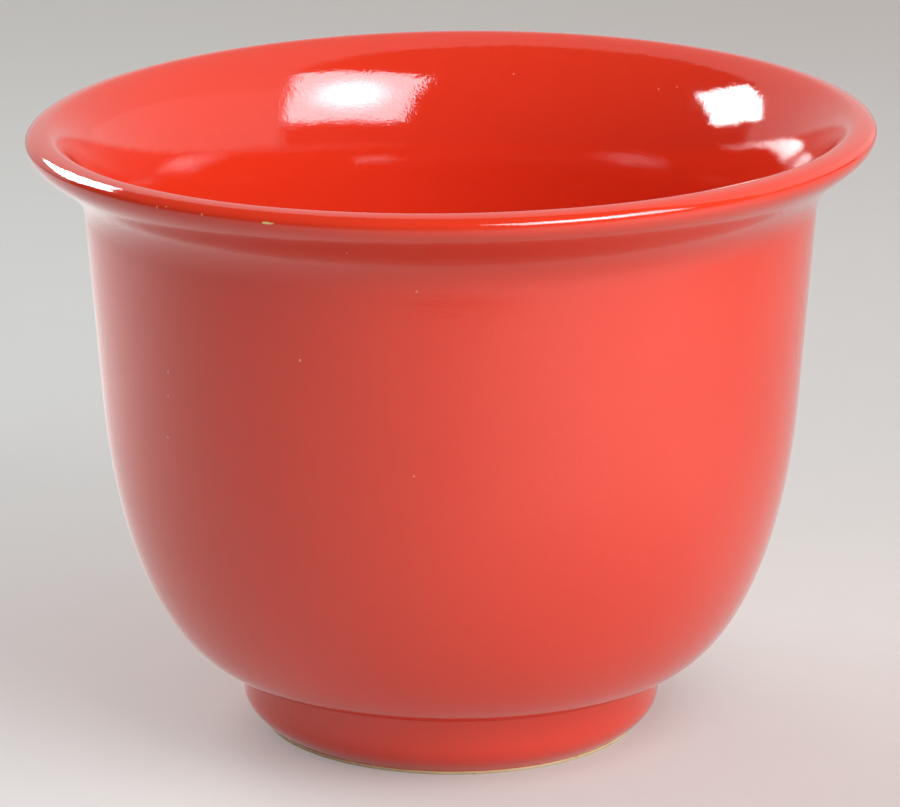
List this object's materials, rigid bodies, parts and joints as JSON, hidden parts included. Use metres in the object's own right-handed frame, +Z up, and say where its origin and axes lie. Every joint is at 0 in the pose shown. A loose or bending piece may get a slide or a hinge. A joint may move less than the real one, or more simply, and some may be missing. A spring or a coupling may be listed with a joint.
{
  "type": "footed bowl",
  "caption": "Deep round planter bowl in red-glazed earthenware with a flared, rolled rim and a set-in foot ring; holds a plant or pot.",
  "frame": {"origin": "middle of the standing plane, under the axis of the bowl", "axes": "+Z up along the axis of the bowl; X and Y are free, as the bowl is round"},
  "size_m": [0.33, 0.3299, 0.2437],
  "materials": {
    "clay": "bare fired buff clay, dry and slightly sandy",
    "slip": "dried joining slip, fired",
    "glaze": "opaque glossy orange-red glaze, faint orange peel"
  },
  "bodies": {
    "root": {"vessel_body": "clay", "foot_ring": "clay", "luting_slip": "slip", "outer_glaze": "glaze", "inner_glaze": "glaze", "foot_glaze": "glaze", "underside_glaze": "glaze"}
  },
  "joints": []
}
